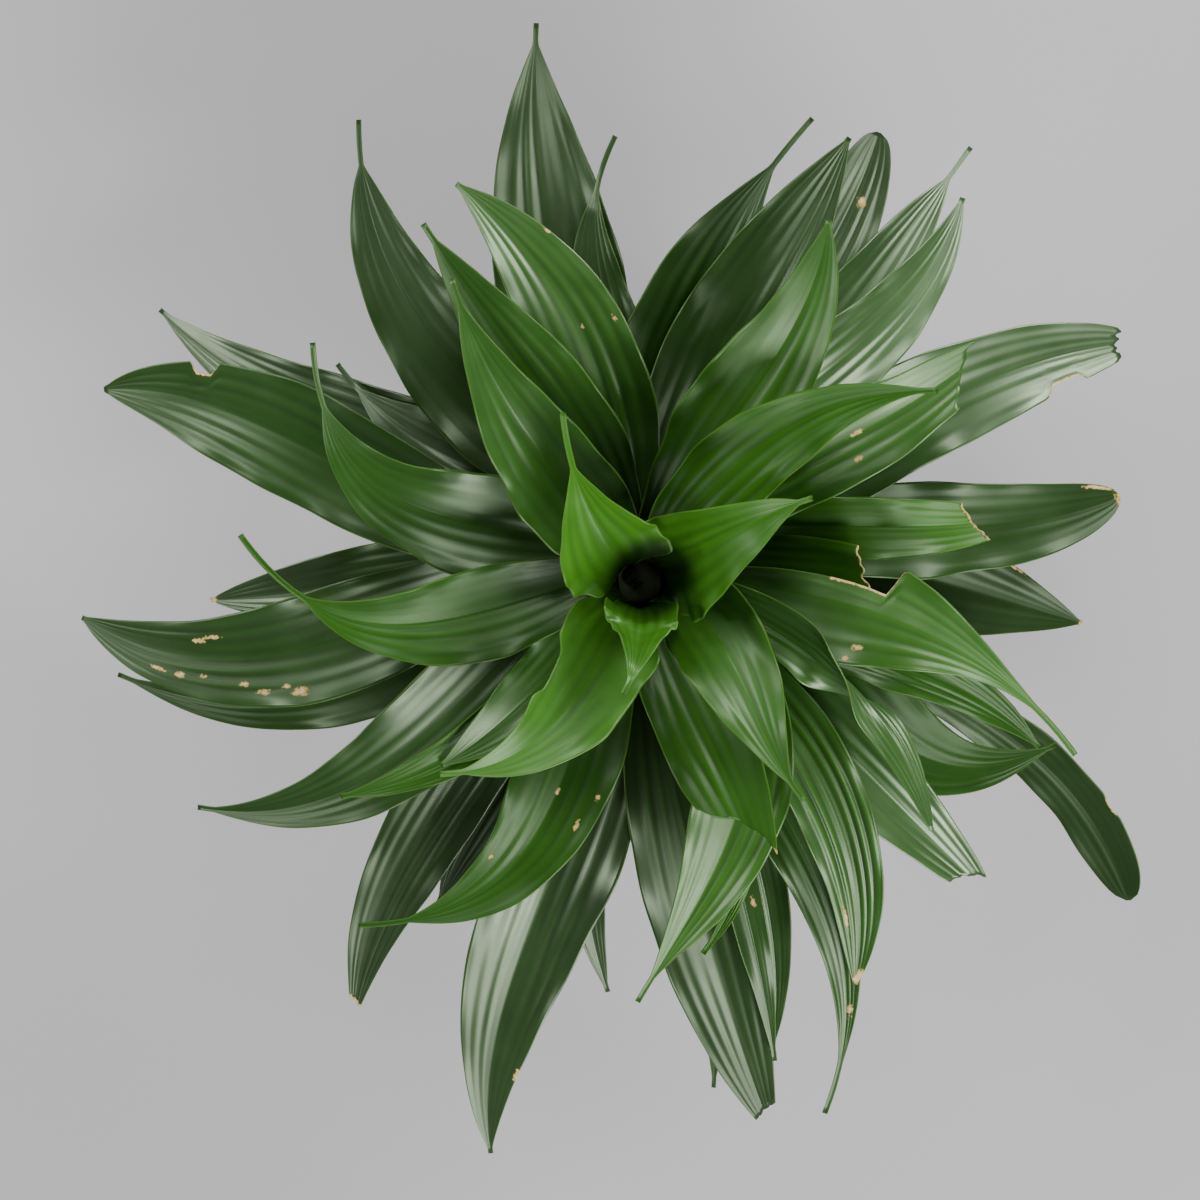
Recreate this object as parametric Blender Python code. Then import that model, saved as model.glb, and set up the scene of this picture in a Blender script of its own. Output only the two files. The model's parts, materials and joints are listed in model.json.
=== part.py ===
# A potted dracaena: a rosette of strap leaves round one short cane, standing in a soil-filled clay pot.
# The leaves are laid from the lowest one to the heart, and each is lifted clear of the older ones below it.
# Origin: middle of the pot's underside. +Z is up, and an azimuth of 0 degrees points along +X.

import math
from dataclasses import dataclass

import bmesh
import bpy
import numpy as np
from mathutils import Matrix

MM = 0.001

# Pot and soil, in millimetres
POT_HEIGHT = 135.0
POT_RIM_RADIUS = 77.0
POT_FOOT_RADIUS = 52.0
POT_WALL = 4.5
POT_FLOOR = 6.0
RIM_BAND_HEIGHT = 24.0
RIM_BAND_STEP = 3.5
EDGE_ROUND = 1.5
DRAIN_RADIUS = 4.0
DRAIN_RING = 30.0
DRAIN_COUNT = 4
SOIL_TOP = 121.0
SOIL_SWELL = 2.0
SOIL_RIPPLE = 1.0
SOIL_RIPPLE_PITCH = 30.0
SEAT_GAP = 0.3
POT_SIDES = 48
POT_SHARP_ANGLE = 35.0
SOIL_RINGS = 5
DRAIN_SIDES = 12

# Cane, in millimetres
CANE_RADIUS = 9.0
CANE_TIP_RADIUS = 7.5
CANE_FOOT = 64.0
CANE_TOP = 345.0
CANE_DOME = 5.0
CROWN_LOW = 172.0
CROWN_HIGH = 300.0
SCAR_SPACING = 9.0
SCAR_RISE = 0.5
SCAR_CREST = 0.3
SCAR_FOOT = 0.5
CANE_SIDES = 20
CANE_STEPS = 3

# Leaf blades, in millimetres and degrees
BLADE = 0.8
BLADE_GAP = 0.35
CANE_GAP = 0.45
STATIONS = 11
ACROSS = 5
RIB_POINTS = 241
BASE_WIDTH = 0.22
SWELL_POWER = 1.5
CLASP = 0.15
LEAST_WIDTH = 2.0
ARCH_OLD = 15.0
ARCH_SWELL = 14.0
ARCH_PEAK_OLD = 0.85
ARCH_PEAK_DROP = 0.4
FOLD_OLD = 8.0
FOLD_GAIN = 14.0
FOLD_POWER = 1.4
ROLL_END = 0.5
TWIST_START = 0.42
TWIST_SPAN = 0.4
WAVE_LEAST = 1.21
WAVE_SPREAD = 1.98
WAVES = 2.3
WAVE_OFFSET = 0.25
GOLDEN_SHARE = 0.618

# The laying field: a square grid of heights round the axis, in millimetres
FIELD_REACH = 300
TRIANGLE_CUTS = 14
SETTLE_ROUNDS = 14
EASE_ROUNDS = 4
STEEPEST = 0.30
RIM_CLEARANCE = 3.0


@dataclass
class Leaf:
    azimuth: float
    reach: float
    bow: float
    hook: float
    width: float
    tip: float
    tone: float
    belly: float = 0.50
    taper: float = 0.9
    roll: float = 0.0
    twist: float = 0.0
    whole: float = 1.0
    thread: float = 0.0
    arch: float = 0.0


# Lowest leaf first. Azimuth in degrees; reach, bow, hook, width and tip height in millimetres; tone is 0
# for an old dark leaf and 1 for a young bright one. Bow and hook bend the midrib sideways, counter-clockwise
# when positive. Belly is where the blade is widest, taper how bluntly it ends, whole the share of a blade
# whose end is not cut off, thread the share of it that is a dry thread at the tip, and arch how far the
# blade stands up above the usual arch.
LEAVES = [
    Leaf(322, 268, 22, 22, 26, 135, 0.18, belly=0.84, taper=0.45, roll=30),
    Leaf(278, 250, 2, 9, 20, 135, 0.25, roll=10),
    Leaf(267, 204, -16, -1, 22, 140, 0.05),
    Leaf(197, 225, 25, 17, 34, 145, 0.10, belly=0.45, taper=1.2),
    Leaf(156, 212, 6, 10, 36, 150, 0.06, belly=0.42, taper=0.95),
    Leaf(58, 186, -4, -7, 33, 153, 0.10, belly=0.60, taper=0.45),
    Leaf(243, 179, 0, -3, 28, 158, 0.05),
    Leaf(241, 242, -14, -11, 34, 162, 0.06, taper=1.0, whole=0.95),
    Leaf(151, 136, 6, 7, 32, 167, 0.06, belly=0.45, taper=1.0, thread=0.10),
    Leaf(190, 175, 0, 2, 31, 172, 0.10, taper=0.8),
    Leaf(124, 196, 21, 11, 43, 176, 0.12, belly=0.36, taper=0.8, thread=0.09),
    Leaf(348, 185, 9, -3, 42, 181, 0.12),
    Leaf(49, 201, -6, 4, 31, 186, 0.30, taper=0.75, thread=0.08),
    Leaf(333, 191, -13, -43, 41, 190, 0.32, taper=1.2),
    Leaf(101, 203, 9.5, 2.5, 49, 195, 0.12, belly=0.48, taper=1.0, thread=0.03),
    Leaf(93, 156, 6.5, 16, 29, 199, 0.14, belly=0.45, taper=1.0, thread=0.14),
    Leaf(257, 260, -2, -20, 47, 204, 0.15, belly=0.48, taper=0.95),
    Leaf(283, 251, -8, 0, 41, 209, 0.14, taper=0.8, whole=0.945),
    Leaf(5, 190, -1, -9, 37, 213, 0.22, belly=0.52, taper=0.5),
    Leaf(188, 219, 17, 23, 42, 218, 0.20, belly=0.54, taper=0.8),
    Leaf(285, 210, 13, 7, 20, 223, 0.25),
    Leaf(333, 177, 6, 11, 24, 227, 0.44),
    Leaf(285, 213, 5, 2, 16, 232, 0.30),
    Leaf(211, 199, 17, 20, 38, 236, 0.22, belly=0.40, taper=1.2),
    Leaf(68, 175, 17, 0, 40, 241, 0.18, belly=0.48, taper=1.1, thread=0.12),
    Leaf(63, 174, 9, -5, 38, 246, 0.15, belly=0.52),
    Leaf(163, 210, 1, -21, 42, 250, 0.25, belly=0.60, taper=0.72),
    Leaf(23, 204, 10, 8, 41, 255, 0.28, belly=0.40, taper=0.55, whole=0.955),
    Leaf(288.5, 230, 23, 20, 25, 260, 0.32, belly=0.45, taper=1.2, thread=0.06),
    Leaf(48, 179, -3, -16, 30, 264, 0.40, taper=0.85),
    Leaf(316, 187, 3, -1, 32, 269, 0.40, belly=0.52, taper=0.7, whole=0.93),
    Leaf(233, 175, 28, 21, 37, 274, 0.45, belly=0.45, taper=1.1, thread=0.08),
    Leaf(7, 146, 5.5, -9, 23, 278, 0.42, belly=0.55, taper=0.6, whole=0.855),
    Leaf(355, 138, 1, -3, 30, 283, 0.42, taper=0.8, whole=0.63),
    Leaf(297, 182, 23, 6, 29, 276, 0.50, taper=0.7),
    Leaf(279.5, 148, 22, 14, 10, 292, 0.75, belly=0.60, taper=0.8),
    Leaf(270, 163, 38, -16, 35, 297, 0.60, taper=1.4, thread=0.02),
    Leaf(145, 143, 25, 20, 37, 301, 0.42, belly=0.45, taper=1.0, thread=0.13),
    Leaf(337, 173, 20, 6, 44, 306, 0.60, belly=0.40, taper=2.8),
    Leaf(115, 153, -16, -4, 37, 311, 0.60, belly=0.48),
    Leaf(217, 135, 13, 2, 19, 315, 0.50),
    Leaf(224, 99, 4, 1, 26, 320, 0.40),
    Leaf(34, 150, 1, -7, 31, 324, 0.50, belly=0.55, taper=0.55, whole=0.91),
    Leaf(292, 134, 1, 5, 33, 329, 0.50, taper=1.3, whole=0.75),
    Leaf(121, 146, -5, 4, 34, 334, 0.45, belly=0.45, taper=0.95, thread=0.03),
    Leaf(173, 141, 24, 16, 33, 338, 0.55, belly=0.48, taper=1.0, thread=0.18),
    Leaf(63, 142, -4, -9, 37, 343, 0.62),
    Leaf(320, 134, 20, 4, 19, 348, 0.55, belly=0.42, taper=0.7, twist=165),
    Leaf(34, 123, 17, 5, 31, 352, 0.60, belly=0.45, taper=1.35, arch=8),
    Leaf(121, 125, 6, 2, 36, 357, 0.58, belly=0.40, taper=1.1, thread=0.04, arch=8),
    Leaf(308, 92, 8, -9, 33, 361, 0.66, belly=0.48, taper=1.15, thread=0.04, arch=10),
    Leaf(222, 93, 14, 5.5, 36, 366, 0.85, belly=0.42, taper=1.1, thread=0.04, arch=12),
    Leaf(30, 67, 3, 2, 41, 368, 0.75, belly=0.36, taper=1.0, thread=0.03, arch=22),
    Leaf(113, 68, 5, 0, 38, 371, 0.85, taper=1.2, thread=0.15, arch=22),
    Leaf(259, 32, 2, 0, 26, 379, 0.90, belly=0.42, taper=1.0, thread=0.05, arch=30),
]

# Colours are linear red, green and blue. A leaf takes the first colour whose limit is above its tone.
LEAF_COLOURS = (
    ("leaf_dark", 0.20, (0.018, 0.052, 0.017)),
    ("leaf_green", 0.45, (0.028, 0.110, 0.018)),
    ("leaf_fresh", 0.65, (0.050, 0.185, 0.018)),
    ("leaf_heart", 1.01, (0.085, 0.290, 0.020)),
)
CANE_COLOUR = (0.150, 0.130, 0.060)
SOIL_COLOUR = (0.035, 0.022, 0.014)
CLAY_COLOUR = (0.330, 0.130, 0.065)
LEAF_ROUGHNESS = 0.38
CANE_ROUGHNESS = 0.7
SOIL_ROUGHNESS = 0.95
CLAY_ROUGHNESS = 0.85


def clear_scene():
    for thing in list(bpy.data.objects):
        bpy.data.objects.remove(thing, do_unlink=True)


def make_material(name, colour, roughness):
    material = bpy.data.materials.new(name)
    material.use_nodes = True
    surface = material.node_tree.nodes["Principled BSDF"]
    surface.inputs["Base Color"].default_value = (*colour, 1.0)
    surface.inputs["Roughness"].default_value = roughness
    surface.inputs["Metallic"].default_value = 0.0
    return material


def add_object(name, bm, material):
    mesh = bpy.data.meshes.new(name)
    bm.to_mesh(mesh)
    bm.free()
    mesh.materials.append(material)
    mesh.shade_smooth()
    thing = bpy.data.objects.new(name, mesh)
    bpy.context.scene.collection.objects.link(thing)
    return thing


def smooth_step(share):
    share = np.clip(share, 0.0, 1.0)
    return share * share * (3.0 - 2.0 * share)


def cane_radius(height):
    """Radius of the cane: straight up to the crown, then narrowing to the heart."""
    share = (height - CROWN_LOW) / (CANE_TOP - CROWN_LOW)
    return CANE_RADIUS + (CANE_TIP_RADIUS - CANE_RADIUS) * min(max(share, 0.0), 1.0)


def midrib(leaf, youth, base_lift):
    """Points of a leaf's midrib from the cane to the full tip, dense enough to measure along."""
    heading = math.radians(leaf.azimuth)
    outward = np.array((math.cos(heading), math.sin(heading)))
    sideways = np.array((-outward[1], outward[0]))
    base = CROWN_LOW + (CROWN_HIGH - CROWN_LOW) * youth

    def plan(share):
        share = np.atleast_1d(share)[:, None]
        bend = 4.0 * share * (1.0 - share) * (leaf.bow + leaf.hook * (2.0 * share - 1.0))
        return outward * leaf.reach * share + sideways * bend

    seat = cane_radius(base + base_lift) + CANE_GAP + BLADE / 2.0
    start = seat / leaf.reach
    for _ in range(6):
        start *= seat / np.hypot(*plan(start)[0])
    along = np.linspace(0.0, 1.0, RIB_POINTS) ** 2
    steep = ARCH_PEAK_OLD - ARCH_PEAK_DROP * youth
    peak = steep / (1.0 + steep)
    arch = along ** steep * (1.0 - along) / (peak ** steep * (1.0 - peak))
    height = base + (leaf.tip - base) * along
    height += (ARCH_OLD + ARCH_SWELL * math.sin(math.pi * youth) + leaf.arch) * arch
    return np.column_stack([plan(start + (1.0 - start) * along), height])


def blade_width(leaf, length):
    """Width of the blade at shares of its full length."""
    share = length / (1.0 - leaf.thread)
    swelling = np.sin(math.pi / 2 * np.clip(share / leaf.belly, 0.0, 1.0)) ** SWELL_POWER
    ending = np.clip((share - leaf.belly) / (1.0 - leaf.belly), 0.0, 1.0)
    closing = np.cos(math.pi / 2 * ending) ** leaf.taper
    shape = np.where(share < leaf.belly, BASE_WIDTH + (1.0 - BASE_WIDTH) * swelling, closing)
    return np.maximum(shape * leaf.width, LEAST_WIDTH)


def blade_points(leaf, number, lifts):
    """Grid of points on the blade's middle surface, stations by places across."""
    youth = number / (len(LEAVES) - 1)
    rib = midrib(leaf, youth, lifts[0])
    steps = np.linalg.norm(np.diff(rib, axis=0), axis=1)
    measured = np.concatenate([[0.0], np.cumsum(steps)]) / steps.sum()
    length = np.linspace(0.0, leaf.whole, STATIONS)

    def on_rib(share):
        place = np.column_stack([np.interp(share, measured, rib[:, axis]) for axis in range(3)])
        place[:, 2] += np.interp(share, length, lifts)
        return place

    centre = on_rib(length)
    tangent = on_rib(np.minimum(length + 0.01, 1.0)) - on_rib(np.maximum(length - 0.01, 0.0))
    tangent /= np.linalg.norm(tangent, axis=1)[:, None]
    side = np.column_stack([-tangent[:, 1], tangent[:, 0], np.zeros(STATIONS)])
    side /= np.linalg.norm(side, axis=1)[:, None]
    free = smooth_step(length / CLASP)
    round_cane = np.column_stack([-centre[:, 1], centre[:, 0], np.zeros(STATIONS)])
    round_cane /= np.linalg.norm(round_cane, axis=1)[:, None]
    side = round_cane + (side - round_cane) * free[:, None]
    side /= np.linalg.norm(side, axis=1)[:, None]
    up = np.cross(tangent, side)
    up /= np.linalg.norm(up, axis=1)[:, None]
    twisted = smooth_step((length - TWIST_START) / TWIST_SPAN)
    angle = np.radians(leaf.roll * smooth_step(length / ROLL_END) + leaf.twist * twisted)
    turn, lean = np.cos(angle)[:, None], np.sin(angle)[:, None]
    side, up = side * turn + up * lean, up * turn - side * lean

    across = np.linspace(-1.0, 1.0, ACROSS)
    half = blade_width(leaf, length) / 2.0
    gutter = np.abs(across) ** FOLD_POWER * math.tan(math.radians(FOLD_OLD + FOLD_GAIN * youth))
    phase = 2.0 * math.pi * (WAVES * length[:, None] + GOLDEN_SHARE * number + WAVE_OFFSET * (across > 0))
    amount = WAVE_LEAST + WAVE_SPREAD * (GOLDEN_SHARE * number % 1.0)
    ripple = amount * across ** 2 * np.sin(phase) * np.sin(math.pi * length / leaf.whole)[:, None]
    ripple *= half[:, None] * 2.0 / leaf.width
    rise = (half * free)[:, None] * gutter[None, :] + ripple
    return centre[:, None] + side[:, None] * (half[:, None] * across)[..., None] + up[:, None] * rise[..., None]


def blade_grid():
    """A flat grid cut into triangles, with each vertex's station and place across."""
    bm = bmesh.new()
    bmesh.ops.create_grid(bm, x_segments=STATIONS - 1, y_segments=ACROSS - 1, size=1.0)
    bmesh.ops.triangulate(bm, faces=bm.faces[:], quad_method="FIXED")
    bm.verts.ensure_lookup_table()
    places = []
    for vertex in bm.verts:
        station = round((vertex.co.x + 1.0) / 2.0 * (STATIONS - 1))
        across = round((vertex.co.y + 1.0) / 2.0 * (ACROSS - 1))
        places.append((station, across))
    return bm, places


def eased(lifts):
    """The lifts with sharp steps filled in, and nowhere lowered."""
    spread = np.convolve(np.pad(lifts, 1, mode="edge"), (0.25, 0.5, 0.25), "valid")
    return np.maximum(lifts, spread)


class LayingField:
    """Heights of what lies below, as seen from above, in cells of one millimetre."""

    def __init__(self, places, triangles):
        size = 2 * FIELD_REACH
        self.height = np.zeros((size, size))
        spot = np.arange(size) + 0.5 - FIELD_REACH
        over_pot = np.hypot(spot[:, None], spot[None, :]) < POT_RIM_RADIUS + 2.0 * RIM_CLEARANCE
        self.height[over_pot] = POT_HEIGHT + RIM_CLEARANCE
        self.places = np.array(places)
        self.triangles = np.array(triangles)
        cuts = [(a, b, TRIANGLE_CUTS - a - b) for a in range(TRIANGLE_CUTS + 1)
                for b in range(TRIANGLE_CUTS + 1 - a)]
        self.weights = np.array(cuts) / TRIANGLE_CUTS
        stations = self.places[self.triangles, 0]
        self.station = (stations @ self.weights.T).ravel()

    def spots(self, points):
        """Cells, heights and half thicknesses at many places on a blade."""
        corners = points[self.places[:, 0], self.places[:, 1]][self.triangles]
        normal = np.cross(corners[:, 1] - corners[:, 0], corners[:, 2] - corners[:, 0])
        level = np.abs(normal[:, 2]) / np.maximum(np.linalg.norm(normal, axis=1), 1e-9)
        half = BLADE / 2.0 / np.maximum(level, STEEPEST)
        place = np.einsum("bk,tkc->tbc", self.weights, corners)
        half = np.broadcast_to(half[:, None], place.shape[:2]).ravel()
        place = place.reshape(-1, 3)
        cell = np.clip((place[:, :2] + FIELD_REACH).astype(int), 0, 2 * FIELD_REACH - 1)
        return cell, place[:, 2], half

    def settle(self, leaf, number):
        """Lift a leaf at its stations until it lies clear of all that is below."""
        wide = np.pad(self.height, 1, mode="edge")
        size = 2 * FIELD_REACH
        below = np.max([wide[i:i + size, j:j + size] for i in range(3) for j in range(3)], axis=0)
        lifts = np.zeros(STATIONS)
        for _ in range(SETTLE_ROUNDS):
            points = blade_points(leaf, number, lifts)
            cell, height, half = self.spots(points)
            short = below[cell[:, 0], cell[:, 1]] + BLADE_GAP + half - height
            if short.max() <= 0.0:
                break
            for station in range(STATIONS):
                near = np.abs(self.station - station) < 1.0
                lifts[station] += max(short[near].max(), 0.0)
            lifts = eased(lifts)
        for _ in range(EASE_ROUNDS):
            lifts = eased(lifts)
        points = blade_points(leaf, number, lifts)
        cell, height, half = self.spots(points)
        np.maximum.at(self.height, (cell[:, 0], cell[:, 1]), height + half)
        return points


def leaf_material(tone, materials):
    for name, limit, _ in LEAF_COLOURS:
        if tone < limit:
            return materials[name]
    return materials[LEAF_COLOURS[-1][0]]


def build_leaves():
    materials = {name: make_material(name, colour, LEAF_ROUGHNESS) for name, _, colour in LEAF_COLOURS}
    flat, places = blade_grid()
    field = LayingField(places, [[vertex.index for vertex in face.verts] for face in flat.faces])
    for number, leaf in enumerate(LEAVES):
        points = field.settle(leaf, number)
        bm = flat.copy()
        for vertex, place in zip(bm.verts, places):
            vertex.co = points[place] * MM
        bmesh.ops.recalc_face_normals(bm, faces=bm.faces[:])
        blade = add_object(f"leaf_{number + 1:02d}", bm, leaf_material(leaf.tone, materials))
        wall = blade.modifiers.new("thickness", "SOLIDIFY")
        wall.thickness = BLADE * MM
        wall.offset = 0.0
        wall.use_even_offset = True
    flat.free()


def turned(profile, sides):
    """A closed body spun round the axis from an outline of radius and height that starts and ends on it."""
    bm = bmesh.new()
    points = [bm.verts.new((radius * MM, 0.0, height * MM)) for radius, height in profile]
    lines = [bm.edges.new(pair) for pair in zip(points, points[1:])]
    bmesh.ops.spin(bm, geom=points + lines, cent=(0, 0, 0), axis=(0, 0, 1), angle=2 * math.pi,
                   steps=sides, use_merge=True)
    bmesh.ops.remove_doubles(bm, verts=bm.verts[:], dist=0.01 * MM)
    bmesh.ops.recalc_face_normals(bm, faces=bm.faces[:])
    return bm


def pot_outer_radius(height):
    wall_top = POT_RIM_RADIUS - RIM_BAND_STEP
    return POT_FOOT_RADIUS + (wall_top - POT_FOOT_RADIUS) * height / POT_HEIGHT


def pot_inner_radius(height):
    return pot_outer_radius(height) - POT_WALL


def build_pot():
    band = POT_HEIGHT - RIM_BAND_HEIGHT
    band_radius = pot_outer_radius(band)
    profile = [
        (0.0, 0.0),
        (POT_FOOT_RADIUS - EDGE_ROUND, 0.0),
        (pot_outer_radius(EDGE_ROUND), EDGE_ROUND),
        (band_radius, band),
        (band_radius + RIM_BAND_STEP, band + EDGE_ROUND),
        (POT_RIM_RADIUS, POT_HEIGHT - EDGE_ROUND),
        (POT_RIM_RADIUS - EDGE_ROUND, POT_HEIGHT),
        (pot_inner_radius(POT_HEIGHT) + EDGE_ROUND, POT_HEIGHT),
        (pot_inner_radius(POT_HEIGHT - EDGE_ROUND), POT_HEIGHT - EDGE_ROUND),
        (pot_inner_radius(POT_FLOOR), POT_FLOOR),
        (0.0, POT_FLOOR),
    ]
    pot = add_object("pot", turned(profile, POT_SIDES), make_material("clay", CLAY_COLOUR, CLAY_ROUGHNESS))
    pot.data.set_sharp_from_angle(angle=math.radians(POT_SHARP_ANGLE))

    holes = bmesh.new()
    for number in range(DRAIN_COUNT):
        turn = Matrix.Rotation(2 * math.pi * number / DRAIN_COUNT, 4, "Z")
        place = turn @ Matrix.Translation((DRAIN_RING * MM, 0.0, POT_FLOOR / 2 * MM))
        bmesh.ops.create_cone(holes, cap_ends=True, segments=DRAIN_SIDES, radius1=DRAIN_RADIUS * MM,
                              radius2=DRAIN_RADIUS * MM, depth=3 * POT_FLOOR * MM, matrix=place)
    cutter = add_object("drain_cutter", holes, make_material("cutter", CLAY_COLOUR, CLAY_ROUGHNESS))
    cutter.hide_render = True
    cutter.display_type = "WIRE"
    cut = pot.modifiers.new("drain_holes", "BOOLEAN")
    cut.operation = "DIFFERENCE"
    cut.solver = "EXACT"
    cut.object = cutter


def build_soil():
    floor = POT_FLOOR + SEAT_GAP
    hole = CANE_RADIUS + SEAT_GAP
    edge = pot_inner_radius(SOIL_TOP) - SEAT_GAP
    profile = [(0.0, floor), (pot_inner_radius(floor) - SEAT_GAP, floor), (edge, SOIL_TOP)]
    for ring in range(1, SOIL_RINGS + 1):
        share = ring / SOIL_RINGS
        profile.append((edge + (hole - edge) * share, SOIL_TOP + SOIL_SWELL * math.sin(math.pi / 2 * share)))
    profile += [(hole, CANE_FOOT - SEAT_GAP), (0.0, CANE_FOOT - SEAT_GAP)]
    bm = turned(profile, POT_SIDES)
    pace = 2.0 * math.pi / SOIL_RIPPLE_PITCH
    for vertex in bm.verts:
        x, y = vertex.co.x / MM, vertex.co.y / MM
        on_top = vertex.co.z > (SOIL_TOP - SOIL_SWELL) * MM
        if on_top and hole + SOIL_SWELL < math.hypot(x, y) < edge - SOIL_SWELL:
            vertex.co.z += SOIL_RIPPLE * math.sin(pace * x) * math.cos(pace * y) * MM
    add_object("soil", bm, make_material("soil", SOIL_COLOUR, SOIL_ROUGHNESS))


def build_cane():
    profile = [(0.0, CANE_FOOT), (CANE_RADIUS, CANE_FOOT)]
    height = SOIL_TOP + SOIL_SWELL + SCAR_SPACING
    while height < CROWN_LOW - SCAR_SPACING:
        profile.append((CANE_RADIUS, height))
        profile.append((CANE_RADIUS + SCAR_RISE, height + SCAR_SPACING * SCAR_CREST))
        profile.append((CANE_RADIUS, height + SCAR_SPACING * SCAR_FOOT))
        height += SCAR_SPACING
    profile.append((CANE_RADIUS, CROWN_LOW))
    shoulder = CANE_TOP - CANE_DOME
    for step in range(1, CANE_STEPS + 1):
        level = CROWN_LOW + (shoulder - CROWN_LOW) * step / CANE_STEPS
        profile.append((cane_radius(level), level))
    for step in range(1, CANE_STEPS + 1):
        turn = math.pi / 2 * step / CANE_STEPS
        profile.append((cane_radius(shoulder) * math.cos(turn), shoulder + CANE_DOME * math.sin(turn)))
    add_object("cane", turned(profile, CANE_SIDES), make_material("cane", CANE_COLOUR, CANE_ROUGHNESS))


clear_scene()
build_pot()
build_soil()
build_cane()
build_leaves()
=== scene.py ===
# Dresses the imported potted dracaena: pleated leaves with their cuts, tears and dry tips, the cane and its
# bud, crumbly soil and a clay pot, on a pale floor. Lengths are in millimetres and angles in degrees, but
# places, heights and bump depths in the materials are in metres.
import json
import math
import random

import bmesh
import bpy
import numpy as np
from mathutils import Matrix, Vector, noise


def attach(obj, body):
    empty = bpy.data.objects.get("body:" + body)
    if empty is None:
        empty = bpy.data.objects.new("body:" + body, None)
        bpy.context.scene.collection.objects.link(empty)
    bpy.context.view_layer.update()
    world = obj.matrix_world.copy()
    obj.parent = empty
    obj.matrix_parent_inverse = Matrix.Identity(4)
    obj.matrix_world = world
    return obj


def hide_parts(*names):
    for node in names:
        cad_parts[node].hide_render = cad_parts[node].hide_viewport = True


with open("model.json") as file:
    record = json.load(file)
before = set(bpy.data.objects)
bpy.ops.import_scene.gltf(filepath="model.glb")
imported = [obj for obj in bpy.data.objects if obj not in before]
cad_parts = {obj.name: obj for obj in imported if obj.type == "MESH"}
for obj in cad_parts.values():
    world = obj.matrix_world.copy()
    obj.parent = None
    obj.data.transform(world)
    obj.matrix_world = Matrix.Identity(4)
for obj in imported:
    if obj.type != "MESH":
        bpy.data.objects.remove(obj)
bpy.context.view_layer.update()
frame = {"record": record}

mm = 0.001

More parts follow.
